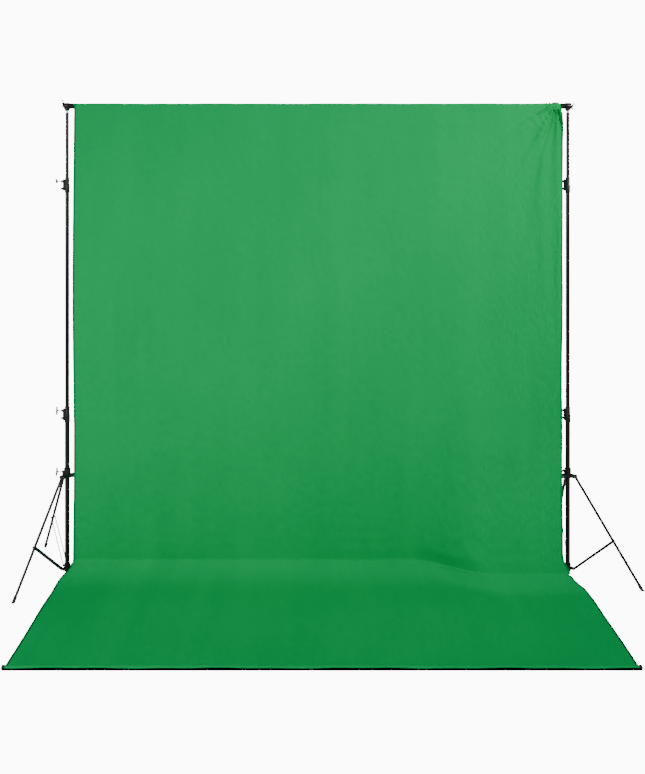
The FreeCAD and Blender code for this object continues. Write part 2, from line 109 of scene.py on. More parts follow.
# ---------------------------------------------------------------- settings

class ClothSettings(bpy.types.PropertyGroup):
    """Sizes and colour of the muslin."""
    colour: bpy.props.FloatVectorProperty(
        name="Colour", description="Dye of the muslin", subtype="COLOR", size=3, min=0, max=1,
        default=(0.0, 0.46, 0.112))
    step: bpy.props.FloatProperty(
        name="Grid", description="Spacing of the cloth's grid before it is smoothed", default=0.030,
        unit="LENGTH")
    thickness: bpy.props.FloatProperty(
        name="Thickness", description="Thickness of the muslin", default=0.0006, unit="LENGTH")
    wave: bpy.props.FloatProperty(
        name="Wave", description="Depth of the broad waves in the hanging cloth", default=0.005,
        unit="LENGTH")
    gather: bpy.props.FloatProperty(
        name="Gather", description="Depth of the folds that fan from the bar's right end", default=0.011,
        unit="LENGTH")
    slack: bpy.props.FloatProperty(
        name="Slack", description="Share by which the hanging cloth is longer than its plane", default=0.0003)
    frames: bpy.props.IntProperty(
        name="Frames", description="Steps for which the cloth is left to hang", default=14)
    limit: bpy.props.FloatProperty(
        name="Limit", description="Furthest that hanging moves a point", default=0.012, unit="LENGTH")


class MetalSettings(bpy.types.PropertyGroup):
    """Finishes of the stands and the bar."""
    black: bpy.props.FloatVectorProperty(
        name="Black coat", description="Colour of the coated tubes", subtype="COLOR", size=3, min=0,
        max=1, default=(0.0025, 0.0027, 0.0030))
    moulded: bpy.props.FloatVectorProperty(
        name="Moulding", description="Colour of the moulded collars and handles", subtype="COLOR",
        size=3, min=0, max=1, default=(0.0035, 0.0035, 0.0040))
    steel: bpy.props.FloatVectorProperty(
        name="Bright steel", description="Colour of plated studs, screws and rivets", subtype="COLOR",
        size=3, min=0, max=1, default=(0.60, 0.60, 0.61))
    edge: bpy.props.FloatProperty(
        name="Edge", description="Rounding of moulded edges", default=0.0008, unit="LENGTH")


class StageSettings(bpy.types.PropertyGroup):
    """Camera and light."""
    lens: bpy.props.FloatProperty(
        name="Lens", description="Focal length of the camera", default=38.7, unit="CAMERA")
    distance: bpy.props.FloatProperty(
        name="Distance", description="Camera to the stands' plane", default=4.987, unit="LENGTH")
    height: bpy.props.FloatProperty(
        name="Height", description="Camera above the floor", default=2.227, unit="LENGTH")
    key: bpy.props.FloatProperty(
        name="Key light", description="Power of the large lights in front", default=46.0, unit="POWER")
    white: bpy.props.FloatProperty(
        name="White", description="Brightness of the seen background and floor", default=11.0, min=0)
    fill: bpy.props.FloatProperty(
        name="Surround", description="Strength of the white surround", default=0.20, min=0)


def settings():
    """The cloth's, the metal's and the stage's settings."""
    scene = bpy.context.scene
    return scene.backdrop_cloth, scene.backdrop_metal, scene.backdrop_stage


# ---------------------------------------------------------------- material helpers

def new_material(name, **values):
    """A Principled material with constant sockets set, and its nodes for what varies."""
    material = bpy.data.materials.new(name)
    material.use_nodes = True
    tree = material.node_tree
    shader = tree.nodes["Principled BSDF"]
    for socket, value in values.items():
        shader.inputs[socket.replace("_", " ")].default_value = value
    return material, tree, shader


def add(tree, kind, **values):
    """A new node with its properties set."""
    node = tree.nodes.new(kind)
    for key, value in values.items():
        setattr(node, key, value)
    return node


def mix_colour(tree, factor, first, second):
    """A colour mix of two constants or sockets."""
    node = add(tree, "ShaderNodeMix", data_type="RGBA")
    tree.links.new(factor, node.inputs["Factor"])
    for socket, value in ((node.inputs[6], first), (node.inputs[7], second)):
        if isinstance(value, bpy.types.NodeSocket):
            tree.links.new(value, socket)
        else:
            socket.default_value = (*value[:3], 1)
    return node.outputs[2]


def spread(tree, source, low, high, start=0.0, end=1.0):
    """A value spread from one range to another."""
    node = add(tree, "ShaderNodeMapRange")
    tree.links.new(source, node.inputs["Value"])
    for name, value in (("From Min", start), ("From Max", end), ("To Min", low), ("To Max", high)):
        node.inputs[name].default_value = value
    return node.outputs["Result"]


def noise(tree, vector, scale, detail=3.0, rough=0.5, stretch=(1, 1, 1)):
    """Noise over a vector, stretched along its axes."""
    mapping = add(tree, "ShaderNodeMapping")
    mapping.inputs["Scale"].default_value = stretch
    tree.links.new(vector, mapping.inputs["Vector"])
    node = add(tree, "ShaderNodeTexNoise")
    node.inputs["Scale"].default_value = scale
    node.inputs["Detail"].default_value = detail
    node.inputs["Roughness"].default_value = rough
    tree.links.new(mapping.outputs["Vector"], node.inputs["Vector"])
    return node.outputs["Fac"]


def bump(tree, shader, height, distance, strength=1.0, under=None):
    """A bump in metres on the shader, over another bump if one is given."""
    node = add(tree, "ShaderNodeBump")
    node.inputs["Distance"].default_value = distance
    node.inputs["Strength"].default_value = strength
    tree.links.new(height, node.inputs["Height"])
    if under is not None:
        tree.links.new(under, node.inputs["Normal"])
    tree.links.new(node.outputs["Normal"], shader.inputs["Normal"])
    return node.outputs["Normal"]


def math_node(tree, operation, first, second=None):
    """A maths node of sockets and numbers."""
    node = add(tree, "ShaderNodeMath", operation=operation)
    for socket, value in zip(node.inputs, (first, second)):
        if value is None:
            continue
        if isinstance(value, bpy.types.NodeSocket):
            tree.links.new(value, socket)
        else:
            socket.default_value = value
    return node.outputs[0]


def object_vector(tree):
    """The object's own coordinates."""
    return add(tree, "ShaderNodeTexCoord").outputs["Object"]


def band(tree, value, centre, half):
    """1 within half of centre, 0 outside."""
    offset = math_node(tree, "ABSOLUTE", math_node(tree, "SUBTRACT", value, centre))
    return math_node(tree, "LESS_THAN", offset, half)


def dashes(tree, value, turn):
    """1 on every other length of stitching along a value, 0 between."""
    wave = math_node(tree, "SINE", math_node(tree, "MULTIPLY", value, turn))
    return math_node(tree, "GREATER_THAN", wave, 0)


def muslin(colour):
    """Plain-weave cotton in metres of its own UV map: threads, slubs, uneven dye, hems and stitching, with
    painted shade along the side hems and a painted shadow line along the floor part's side edges.
    """
    material, tree, shader = new_material("muslin_finish", Roughness=0.9, Sheen_Weight=0.06,
                                          Sheen_Roughness=0.5, Sheen_Tint=(0.0, 0.9, 0.25, 1))
    shader.inputs["Specular IOR Level"].default_value = 0.0
    uv = add(tree, "ShaderNodeTexCoord").outputs["UV"]
    split = add(tree, "ShaderNodeSeparateXYZ")
    tree.links.new(uv, split.inputs["Vector"])
    across, along = split.outputs["X"], split.outputs["Y"]
    thread = 2 * math.pi / THREAD_PITCH
    warp = math_node(tree, "SINE", math_node(tree, "MULTIPLY", across, thread))
    weft = math_node(tree, "SINE", math_node(tree, "MULTIPLY", along, thread))
    weave = spread(tree, math_node(tree, "MULTIPLY", warp, weft), 0, 1, -1, 1)
    slubs = math_node(tree, "ADD", noise(tree, uv, 60, 2, 0.5, (14, 1, 1)),
                      noise(tree, uv, 60, 2, 0.5, (1, 14, 1)))
    patches = noise(tree, uv, 1.3, 3, 0.55)
    streaks = noise(tree, uv, 5, 3, 0.6, (1, 0.10, 1))
    cotton = noise(tree, uv, 95, 3, 0.6)
    darker = tuple(0.86 * channel for channel in colour)
    lighter = (colour[0], min(1, colour[1] * 1.06), colour[2] * 1.12)
    dye = spread(tree, math_node(tree, "ADD", patches, streaks), 0, 1, 0.5, 1.5)
    dyed = mix_colour(tree, dye, darker, lighter)
    threads = mix_colour(tree, spread(tree, slubs, 0, 0.30, 0.8, 1.3), dyed, lighter)
    fine = mix_colour(tree, spread(tree, cotton, 0.0, 0.22, 0.45, 0.8), threads, darker)
    from_edge = math_node(tree, "SUBTRACT", FLAT_WIDTH / 2,
                          math_node(tree, "ABSOLUTE", math_node(tree, "SUBTRACT", across, FLAT_WIDTH / 2)))
    hem = math_node(tree, "LESS_THAN", from_edge, SIDE_HEM)
    # painted shade: the turned-over side hems darkened towards 0.45 of the dye, as shadow along the edges
    hem_shaded = mix_colour(tree, math_node(tree, "MULTIPLY", hem, 0.75), fine, tuple(0.45 * c for c in colour))
    laid = math_node(tree, "GREATER_THAN", along, LAID_FROM)
    # painted shadow: the rolled mask marks a near-black line along the side edges of the part on the floor
    rolled = math_node(tree, "MULTIPLY", math_node(tree, "LESS_THAN", from_edge, EDGE_SHADOW_WIDTH), laid)
    edge_shadowed = mix_colour(tree, rolled, hem_shaded, tuple(0.08 * c for c in colour))
    dash_along, dash_over = (dashes(tree, line, STITCH_TURN) for line in (along, across))
    side_line = math_node(tree, "MULTIPLY", band(tree, from_edge, 0.010, 0.0006), dash_along)
    seam_line = math_node(tree, "MULTIPLY", band(tree, along, SEAM_LENGTH, 0.0007), dash_over)
    stitches = math_node(tree, "MAXIMUM", side_line, seam_line)
    tree.links.new(mix_colour(tree, stitches, edge_shadowed, (0.0, 0.40, 0.14)), shader.inputs["Base Color"])
    tree.links.new(spread(tree, slubs, 0.82, 0.95, 0.7, 1.3), shader.inputs["Roughness"])
    crumple = noise(tree, uv, 7, 4, 0.55)
    soft = bump(tree, shader, crumple, 0.0018, 0.5)
    raised = math_node(tree, "ADD", hem, math_node(tree, "MULTIPLY", stitches, 2))
    relief = math_node(tree, "ADD", slubs, raised)
    surface = math_node(tree, "ADD", math_node(tree, "MULTIPLY", weave, 0.6), relief)
    bump(tree, shader, surface, 0.00018, 0.6, soft)
    return material


def painted_shadow_sheet(colour):
    """Black sheet standing for the painted shadow under the rolled hem, ribbed across like woven tape, in
    metres of its own UV map.
    """
    material, tree, shader = new_material("painted_shadow_finish", Roughness=0.85)
    shader.inputs["Specular IOR Level"].default_value = 0.15
    uv = add(tree, "ShaderNodeTexCoord").outputs["UV"]
    ribs = noise(tree, uv, 300, 2, 0.5, (1, 0.08, 1))
    worn = noise(tree, uv, 20, 3, 0.6)
    faded = tuple(channel + 0.012 for channel in colour)
    tree.links.new(mix_colour(tree, spread(tree, worn, 0, 1, 0.4, 0.8), colour, faded),
                   shader.inputs["Base Color"])
    bump(tree, shader, ribs, 0.00015, 0.6)
    return material


def coated(name, colour, rough=0.24, along=2):
    """Black coat on drawn tube: gloss with faint draw lines, dust and scuffs."""
    material, tree, shader = new_material(name, Coat_Weight=0.25, Coat_Roughness=0.15)
    shader.inputs["Specular IOR Level"].default_value = 0.4
    place = object_vector(tree)
    stretch = [40.0, 40.0, 40.0]
    stretch[along] = 1.0
    lines = noise(tree, place, 20, 2, 0.6, stretch)
    dust = noise(tree, place, 55, 4, 0.65)
    scuff = noise(tree, place, 240, 2, 0.7)
    worn = spread(tree, scuff, 0, 1, 0.66, 0.78)
    grey = tuple(0.010 + channel for channel in colour)
    tinted = mix_colour(tree, spread(tree, dust, 0, 0.45, 0.45, 0.85), colour, grey)
    tree.links.new(mix_colour(tree, worn, tinted, (0.035, 0.035, 0.037)), shader.inputs["Base Color"])
    uneven = math_node(tree, "ADD", math_node(tree, "MULTIPLY", lines, 0.10), rough - 0.05)
    tree.links.new(math_node(tree, "ADD", uneven, math_node(tree, "MULTIPLY", dust, 0.10)),
                   shader.inputs["Roughness"])
    bump(tree, shader, lines, 0.00004, 0.5)
    return material


def moulding(name, colour, rough=0.42):
    """Glass-filled nylon: fine spark grain, flow shading and rubbed high spots."""
    material, tree, shader = new_material(name)
    shader.inputs["Specular IOR Level"].default_value = 0.5
    place = object_vector(tree)
    grain = noise(tree, place, 1500, 2, 0.5)
    flow = noise(tree, place, 35, 3, 0.5)
    surface = add(tree, "ShaderNodeNewGeometry")
    rubbed = spread(tree, surface.outputs["Pointiness"], 0, 0.5, 0.53, 0.62)
    tint = mix_colour(tree, spread(tree, flow, 0, 1, 0.3, 0.7), colour, tuple(c + 0.006 for c in colour))
    tree.links.new(mix_colour(tree, rubbed, tint, (0.03, 0.03, 0.031)), shader.inputs["Base Color"])
    tree.links.new(spread(tree, flow, rough - 0.06, rough + 0.08, 0.3, 0.7), shader.inputs["Roughness"])
    bump(tree, shader, grain, 0.00007, 0.6)
    return material


def plated(name, colour):
    """Plated turned steel with fine tool marks."""
    material, tree, shader = new_material(name, Metallic=1.0)
    place = object_vector(tree)
    rings = noise(tree, place, 120, 2, 0.6, (1, 1, 14))
    spots = noise(tree, place, 60, 3, 0.6)
    dull = tuple(0.72 * channel for channel in colour)
    tree.links.new(mix_colour(tree, spread(tree, spots, 0, 0.6, 0.45, 0.8), colour, dull),
                   shader.inputs["Base Color"])
    tree.links.new(spread(tree, rings, 0.16, 0.34, 0.3, 0.7), shader.inputs["Roughness"])
    bump(tree, shader, rings, 0.00003, 0.5)
    return material


def rubber(name):
    """Matt black rubber with bloom and floor dust."""
    material, tree, shader = new_material(name)
    place = object_vector(tree)
    bloom = noise(tree, place, 90, 4, 0.6)
    grain = noise(tree, place, 900, 2, 0.5)
    tree.links.new(mix_colour(tree, spread(tree, bloom, 0, 1, 0.35, 0.8), (0.012, 0.012, 0.012),
                              (0.045, 0.044, 0.042)), shader.inputs["Base Color"])
    tree.links.new(spread(tree, bloom, 0.62, 0.82, 0.3, 0.7), shader.inputs["Roughness"])
    bump(tree, shader, grain, 0.0001, 0.6)
    return material


def finish(name):
    """A material by name, made once."""
    found = bpy.data.materials.get(name)
    if found:
        return found
    cloth, metal = settings()[:2]
    makers = {
        "muslin_finish": lambda: muslin(tuple(cloth.colour)),
        "painted_shadow_finish": lambda: painted_shadow_sheet(tuple(metal.black)),
        "upright_finish": lambda: coated("upright_finish", tuple(metal.black)),
        "bar_finish": lambda: coated("bar_finish", tuple(metal.black), 0.28, 0),
        "flat_finish": lambda: coated("flat_finish", tuple(metal.black), 0.34),
        "moulding_finish": lambda: moulding("moulding_finish", tuple(metal.moulded)),
        "casting_finish": lambda: moulding("casting_finish", tuple(metal.moulded), 0.34),
        "steel_finish": lambda: plated("steel_finish", tuple(metal.steel)),
        "rubber_finish": lambda: rubber("rubber_finish"),
    }
    return makers[name]()


def give(obj, name):
    """Puts one finish on every face of an object."""
    obj.data.materials.clear()
    obj.data.materials.append(finish(name))
    return obj


# ---------------------------------------------------------------- mesh helpers

def deselect():
    """Clears the selection."""
    bpy.ops.object.select_all(action="DESELECT")


def pick(obj):
    """Makes one object the only selected and active one."""
    deselect()
    obj.select_set(True)
    bpy.context.view_layer.objects.active = obj
    return obj


def settle(obj):
    """Applies an object's place to its mesh."""
    pick(obj)
    bpy.ops.object.transform_apply(location=True, rotation=True, scale=True)
    return obj


def modify(obj, kind, **values):
    """Adds a modifier and applies it."""
    pick(obj)
    modifier = obj.modifiers.new(kind.title(), kind)
    for key, value in values.items():
        setattr(modifier, key, value)
    bpy.ops.object.modifier_apply(modifier=modifier.name)
    return obj


def smooth(obj, degrees=32.0):
    """Smooth shading, with edges kept sharp past an angle."""
    pick(obj)
    bpy.ops.object.shade_smooth_by_angle(angle=math.radians(degrees))
    return obj


def cad_copy(node, name):
    """A merged copy of a CAD node's mesh, to finish as a new piece."""
    source = frame["nodes"][node]
    obj = bpy.data.objects.new(name, source.data.copy())
    bpy.context.scene.collection.objects.link(obj)
    obj.matrix_world = source.matrix_world
    settle(obj)
    obj.data.materials.clear()
    bpy.ops.object.mode_set(mode="EDIT")
    bpy.ops.mesh.select_all(action="SELECT")
    bpy.ops.mesh.remove_doubles(threshold=0.00001)
    bpy.ops.mesh.dissolve_limited(angle_limit=math.radians(1.0))
    bpy.ops.object.mode_set(mode="OBJECT")
    return obj


def rounded(node, name, edge, angle=40.0):
    """A CAD node's shape with its edges rounded, standing for that node."""
    obj = cad_copy(node, name)
    modify(obj, "BEVEL", width=edge, segments=2, limit_method="ANGLE", angle_limit=math.radians(angle),
           use_clamp_overlap=True, harden_normals=False)
    modify(obj, "TRIANGULATE")
    smooth(obj)
    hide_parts(node)
    return obj


def show_screw(obj, name, reach=0.0034):
    """Bright steel on the faces of a turning piece that lie close round its joint's axis."""
    turn = joint(name)
    start, axis = Vector(turn["pos_m"]), Vector(turn["axis"]).normalized()
    obj.data.materials.append(finish("steel_finish"))
    for face in obj.data.polygons:
        arms = [obj.data.vertices[index].co - start for index in face.vertices]
        if max((arm - axis * arm.dot(axis)).length for arm in arms) < reach:
            face.material_index = 1
    return obj


def body_holding(node):
    """The body that a node rides on."""
    bodies = frame["record"]["behaviour"]["bodies"]
    return next(body for body, nodes in bodies.items() if node in nodes)


# ---------------------------------------------------------------- the cloth

def ease(value, start, end):
    """Smooth step from 0 at start to 1 at end."""
    share = np.clip((np.asarray(value, float) - start) / (end - start), 0, 1)
    return share * share * (3 - 2 * share)


SEAM_Z = POCKET_LOW.z                       # pocket seam
FLAT_Y = FLOOR_HIGH.y                       # the cloth lies flat in front of this
FRONT_Y = FLOOR_LOW.y - 0.017               # middle of the rolled hem
TOE_Z = 0.070                               # the wall turns here and slopes down to the floor
LEAN_TOP = 0.87                             # the cloth leans out below this on the right
LEAN_FROM = MID_X + 0.565                   # the lean starts here along the bar
LEAN_FULL = MID_X + 1.015                   # and is full from here on
HANG_LEFT, HANG_RIGHT = -1.4605, 1.4655     # hanging edges, from the stands' middle
LEAN_TAPER = 0.292                          # drawn in at the side for each metre that it leans out
CORNER_R, LEAN_R = 0.032, 0.030             # bend at the floor, upright and leaning
FACE_Y = CLOTH_LOW.y + 0.0004               # front of the hanging cloth
LAID_Z = 0.0012                             # face of the cloth on the floor
HEM_R = (HEM_HIGH.z - HEM_LOW.z) / 2
ROLL_INSET = 0.0006                         # the rolled hem is this much inside the CAD's
POCKET_ROWS = 21                            # rows round the bar
HEM_ROW = -15                               # row on the rolled hem that its painted shadow sheet and end caps follow


def lean(x):
    """Slope of the lower cloth at a place along the bar."""
    full = (CLOTH_LOW.y - LEAN_Y) / (LEAN_TOP - CORNER_Z)
    return full * float(ease(x, LEAN_FROM, LEAN_FULL))


def lean_run(z):
    """Height below the top of the leaning part, easing in."""
    below = LEAN_TOP - z
    return (below + math.hypot(below, 0.10)) / 2


def pocket_section():
    """The pocket's section, from the seam behind the bar over it and down to the seam in front."""
    radius = BAR_R + 0.0009
    points = [(FACE_Y + 0.0015 + (STAND_Y + radius - FACE_Y) * share ** 0.8,
               SEAM_Z + (BAR_Z - SEAM_Z) * share) for share in np.linspace(0, 0.8, 5)]
    points += [(STAND_Y + radius * math.cos(turn), BAR_Z + radius * math.sin(turn))
               for turn in np.linspace(0, math.pi, 11)]
    points += [(STAND_Y - radius + (FACE_Y - STAND_Y + radius) * share, BAR_Z + (SEAM_Z - BAR_Z) * share)
               for share in np.linspace(0.2, 1, 5)]
    return points


def profile(x, step):
    """The cloth's section at one place: (y, z) points from the pocket's back seam to the front hem's end."""
    slope = lean(x)
    bend = CORNER_R + (LEAN_R - CORNER_R) * float(ease(x, LEAN_FROM, LEAN_FULL))
    corner = Vector((FACE_Y - slope * lean_run(TOE_Z), TOE_Z))
    down = Vector((-slope, -1)).normalized()
    flat_y = min(FLAT_Y, corner.x - 0.17)
    ahead = Vector((flat_y - corner.x, (LAID_Z - TOE_Z) * 2)).normalized()
    turn = down.angle(ahead)
    run = bend * math.tan(turn / 2)
    start, end = corner - down * run, corner + ahead * run
    inward = (ahead - down * ahead.dot(down)).normalized()
    centre = start + inward * bend
    rows = int(round((SEAM_Z - 0.12) / step))
    levels = np.linspace(SEAM_Z, start.y, rows + 1)[1:]
    points = pocket_section() + [(FACE_Y - slope * lean_run(z), z) for z in levels]
    for angle in np.linspace(0, turn, 8)[1:]:
        points.append(tuple(centre - inward * bend * math.cos(angle) + down * bend * math.sin(angle)))
    rest = end.y - LAID_Z
    points += [(end.x + (flat_y - end.x) * share, LAID_Z + rest * (1 - share) ** 3)
               for share in np.linspace(0, 1, 11)[1:]]
    points += [(flat_y + (FRONT_Y - flat_y) * share, LAID_Z) for share in np.linspace(0, 1, 29)[1:]]
    roll = HEM_R - ROLL_INSET
    points += [(FRONT_Y - roll * math.sin(angle), LAID_Z + roll * (1 - math.cos(angle)))
               for angle in np.linspace(0, 2 * math.pi * 0.84, 15)[1:]]
    return points


def columns():
    """Shares across the cloth, closer together towards the gathered right end."""
    plain = np.linspace(0, 0.82, 104)
    fine = np.linspace(0.82, 1.0, 62)[1:]
    return np.concatenate([plain, fine])


# Edges of the floor part as (y, x) from the stands' middle, front first.
LEFT_EDGE = ((-1.03, -1.490), (-0.47, -1.506), (-0.13, -1.515), (-0.08, -1.492), (-0.04, -1.463))
RIGHT_EDGE = ((-1.03, 1.532), (-0.36, 1.541), (-0.26, 1.532), (-0.22, 1.488), (-0.195, 1.452))


def edge(rows_y, rows_z, hanging, laid, forward=0.0):
    """Edge of the cloth for each row: hanging, then over the floor through laid (y, x) points."""
    places, values = zip(*laid)
    over = np.interp(rows_y - STAND_Y, places, values)
    over = np.convolve(np.pad(over, 2, mode="edge"), (0.1, 0.2, 0.4, 0.2, 0.1), mode="valid")
    down = hanging + LEAN_TAPER * np.sign(hanging) * forward
    return MID_X + np.where(rows_z > TOE_Z, down, over)


def cloth_grid(cloth):
    """Rows and columns of points for the whole cloth."""
    shares = columns()
    width = CLOTH_HIGH.x - CLOTH_LOW.x
    sections = [profile(CLOTH_LOW.x + share * width, cloth.step) for share in shares]
    grid = np.zeros((len(sections[0]), len(shares), 3))
    grid[:, :, 1:] = np.array(sections).transpose(1, 0, 2)
    rows = np.arange(len(grid))
    pocket = rows < POCKET_ROWS
    z = np.where(pocket, BAR_Z, grid[:, 0, 2])
    drop = (BAR_Z - z) / 2.1
    left = edge(grid[:, 0, 1], z, HANG_LEFT + 0.0045 * np.cos(2 * math.pi * drop), LEFT_EDGE)
    forward = np.clip(grid[:, -1, 1] - FACE_Y, -0.3, 0)
    down = (HANG_RIGHT + 0.0015 * np.sin(9 * z) - 0.006 * ease(z, SEAM_Z - 0.14, SEAM_Z)
            + 0.045 * ease(z, 0.17, 0.07))
    right = edge(grid[:, -1, 1], np.where(pocket, BAR_Z, grid[:, -1, 2]), down, RIGHT_EDGE, forward)
    left[pocket], right[pocket] = POCKET_LOW.x + 0.0005, MID_X + 1.4595
    grid[:, :, 0] = left[:, None] + shares * (right - left)[:, None]
    return grid


def shape_cloth(grid, cloth):
    """Waves, gathers and tugs of the hanging cloth, and the lie of the floor part."""
    x, y, z = (grid[:, :, axis].copy() for axis in range(3))
    rows = np.arange(len(grid))[:, None] * np.ones_like(x)
    wall = rows >= POCKET_ROWS
    hanging = ease(z, BAR_Z - 0.02, BAR_Z - 0.16) * ease(z, 0.05, 0.20) * wall
    across = x - MID_X
    broad = (np.sin(across * 5.1 + 0.35 * z) + 0.6 * np.sin(across * 9.3 - 0.5 * z + 1.2)
             + 0.35 * np.sin(across * 17.0 + 0.8 * z + 2.1))
    streaks = np.sin(across * 31 + 0.7 * np.sin(2.2 * z)) + 0.7 * np.sin(across * 53 - 0.6 * z + 0.8)
    upper = ease(z, 0.9, 2.4)
    y -= cloth.wave * hanging * (broad * 0.5 + 0.9 + 0.12 * upper * streaks)
    gathers(cloth, x, y, z)
    side = ease(across, 1.22, 1.45) * hanging * ease(z, 0.9, 1.9)
    y -= 0.007 * side * (1 + np.sin(across * 52 + 0.5 * z))
    y += 0.010 * ease(across, 1.435, 1.472) * hanging * wall
    from_left = across + 1.46
    for tug_z in (BAR_Z - 1.835, BAR_Z - 2.44):
        near = np.exp(-((z - tug_z + 0.25 * from_left) / 0.03) ** 2) * np.exp(-from_left / 0.10)
        y -= 0.004 * near * hanging
    bunch(x, y, z, rows)
    laid = (z < 0.01) & (y < FLAT_Y) & (y > FRONT_Y + 0.02)
    ripple = (np.sin(across * 7.3 + 2.1 * y) * np.sin(y * 8.7 - across * 1.9)
              + 0.5 * np.sin(across * 19 - 6 * y))
    rims = ease(np.abs(across), 1.30, 1.50)
    z += np.where(laid, 0.0011 * (ripple + 1.4) * (1 + 1.5 * rims) * ease(FLAT_Y - y, 0, 0.2), 0)
    grid[:, :, 0], grid[:, :, 1], grid[:, :, 2] = x, y, z
    return grid


def gathers(cloth, x, y, z):
    """Folds that fan from the bunched right end of the pocket, down and to the left."""
    dx, dz = POCKET_HIGH.x - 0.030 - x, BAR_Z + 0.025 - z
    reach = np.hypot(dx, dz)
    around = np.arctan2(dx, np.maximum(dz, 1e-4))
    window = ease(around, 1.42, 0.75) * ease(around, -0.75, -0.30)
    fade = np.exp(-reach / 0.30) + 0.35 * np.exp(-reach / 0.9) * ease(around, 0.5, 0.15)
    shoulder = ease(reach, 0.015, 0.07) * ease(z, BAR_Z + 0.02, BAR_Z - 0.014)
    folds = np.sin(around * 15.0 + 0.6) + 0.55 * np.sin(around * 27.0 + 1.9)
    y -= cloth.gather * window * fade * shoulder * (folds + 1.45)


def bunch(x, y, z, rows):
    """The pocket pushed together at its right end, and its faint waviness along the bar."""
    over = rows < POCKET_ROWS
    dy, dz = y - STAND_Y, z - BAR_Z
    crowd = np.exp(-((x - (POCKET_HIGH.x - 0.030)) / 0.017) ** 2)
    pinch = np.exp(-((x - (POCKET_HIGH.x - 0.075)) / 0.030) ** 2)
    swell = 1 + 0.62 * crowd + 0.22 * pinch * (1 + np.sin(x * 330))
    along = x - MID_X
    waviness = np.sin(along * 8.3) + 0.7 * np.sin(along * 19.7 + 1) + 0.5 * np.sin(along * 47 + 2)
    swell += 0.035 * waviness + 0.05
    upper = ease(dz, -0.030, 0.0)
    swell = 1 + (np.maximum(swell, 1.0) - 1) * upper
    y[:] = np.where(over, STAND_Y + dy * swell, y)
    z[:] = np.where(over, BAR_Z + dz * swell, z)


def grid_quads(rows, cols):
    """Faces between a grid's points, and the points' numbers in rows."""
    index = np.arange(rows * cols).reshape(rows, cols)
    corners = (index[:-1, :-1], index[1:, :-1], index[1:, 1:], index[:-1, 1:])
    return np.stack(corners, axis=-1).reshape(-1, 4), index


def sheet_mesh(name, grid):
    """A single sheet through the grid's points."""
    quads = grid_quads(*grid.shape[:2])[0]
    mesh = bpy.data.meshes.new(name)
    mesh.from_pydata(grid.reshape(-1, 3).tolist(), [], quads.tolist())
    obj = bpy.data.objects.new(name, mesh)
    bpy.context.scene.collection.objects.link(obj)
    return obj


def hang(grid, cloth):
    """Lets the wall of the cloth hang under its weight, held by the pocket and by the floor."""
    rows, cols = grid.shape[:2]
    obj = sheet_mesh("hanging_sheet", grid)
    z = grid[:, :, 2]
    row = np.arange(rows)[:, None] * np.ones((1, cols))
    free = (row >= POCKET_ROWS) & (z > TOE_Z + 0.06) & (row < POCKET_ROWS + np.count_nonzero(z[:, 0] > 0.05))
    held = obj.vertex_groups.new(name="held")
    held.add([int(point) for point in np.flatnonzero(~free.reshape(-1))], 1.0, "REPLACE")
    pick(obj)
    simulation = obj.modifiers.new("Cloth", "CLOTH")
    fabric = simulation.settings
    fabric.vertex_group_mass = "held"
    fabric.quality, fabric.mass, fabric.air_damping = 4, 0.0006, 2.0
    fabric.tension_stiffness = fabric.compression_stiffness = 30
    fabric.shear_stiffness, fabric.bending_stiffness = 12, 0.4
    fabric.shrink_min = -cloth.slack
    simulation.collision_settings.use_collision = False
    simulation.point_cache.frame_start, simulation.point_cache.frame_end = 1, cloth.frames
    for number in range(1, cloth.frames + 1):
        bpy.context.scene.frame_set(number)
    bpy.ops.object.modifier_apply(modifier=simulation.name)
    hung = np.zeros(rows * cols * 3)
    obj.data.vertices.foreach_get("co", hung)
    bpy.context.scene.frame_set(1)
    bpy.data.objects.remove(obj)
    move = hung.reshape(grid.shape) - grid
    size = np.linalg.norm(move, axis=2, keepdims=True)
    move *= np.minimum(1, cloth.limit / np.maximum(size, 1e-9))
    return grid + move


def grid_mesh(name, grid, first, last, thickness, normals, lengths, shares):
    """A closed thin mesh of some rows of a grid, with the whole grid's shading normals and flat places."""
    part = grid[first:last + 1]
    normal = normals[first:last + 1]
    rows, cols = part.shape[:2]
    front = part.reshape(-1, 3)
    back = (part - normal * thickness).reshape(-1, 3)
    quads, index = grid_quads(rows, cols)
    under = quads[:, ::-1] + rows * cols
    rim = []
    border = list(index[:-1, 0]) + list(index[-1, :-1]) + list(index[:0:-1, -1]) + list(index[0, :0:-1])
    for here, there in zip(border, border[1:] + border[:1]):
        rim.append((there, here, here + rows * cols, there + rows * cols))
    faces = np.concatenate([quads, under, np.array(rim)])
    mesh = bpy.data.meshes.new(name)
    mesh.from_pydata(np.concatenate([front, back]).tolist(), [], faces.tolist())
    layer = mesh.uv_layers.new(name="UVMap")
    flat_u = np.tile(shares * FLAT_WIDTH, rows)
    flat_v = np.repeat(lengths[first:last + 1], cols)
    vertex_uv = np.tile(np.stack([flat_u, flat_v], axis=1), (2, 1))
    loops = np.zeros(len(mesh.loops), np.int32)
    mesh.loops.foreach_get("vertex_index", loops)
    layer.data.foreach_set("uv", vertex_uv[loops].reshape(-1).astype(np.float32))
    flat_normals = np.concatenate([normal.reshape(-1, 3), -normal.reshape(-1, 3)])
    split = flat_normals[loops]
    mesh.polygons.foreach_set("use_smooth", [True] * len(mesh.polygons))
    mesh.update()
    for face in range(len(quads) + len(under), len(faces)):
        split[4 * face:4 * face + 4] = mesh.polygons[face].normal
    mesh.normals_split_custom_set([tuple(value) for value in split])
    obj = bpy.data.objects.new(name, mesh)
    bpy.context.scene.collection.objects.link(obj)
    return obj


def grid_normals(grid):
    """Normals of the grid, towards the front on the wall and up on the floor."""
    down = np.gradient(grid, axis=0)
    over = np.gradient(grid, axis=1)
    normal = np.cross(down, over)
    normal /= np.maximum(np.linalg.norm(normal, axis=2, keepdims=True), 1e-12)
    return normal


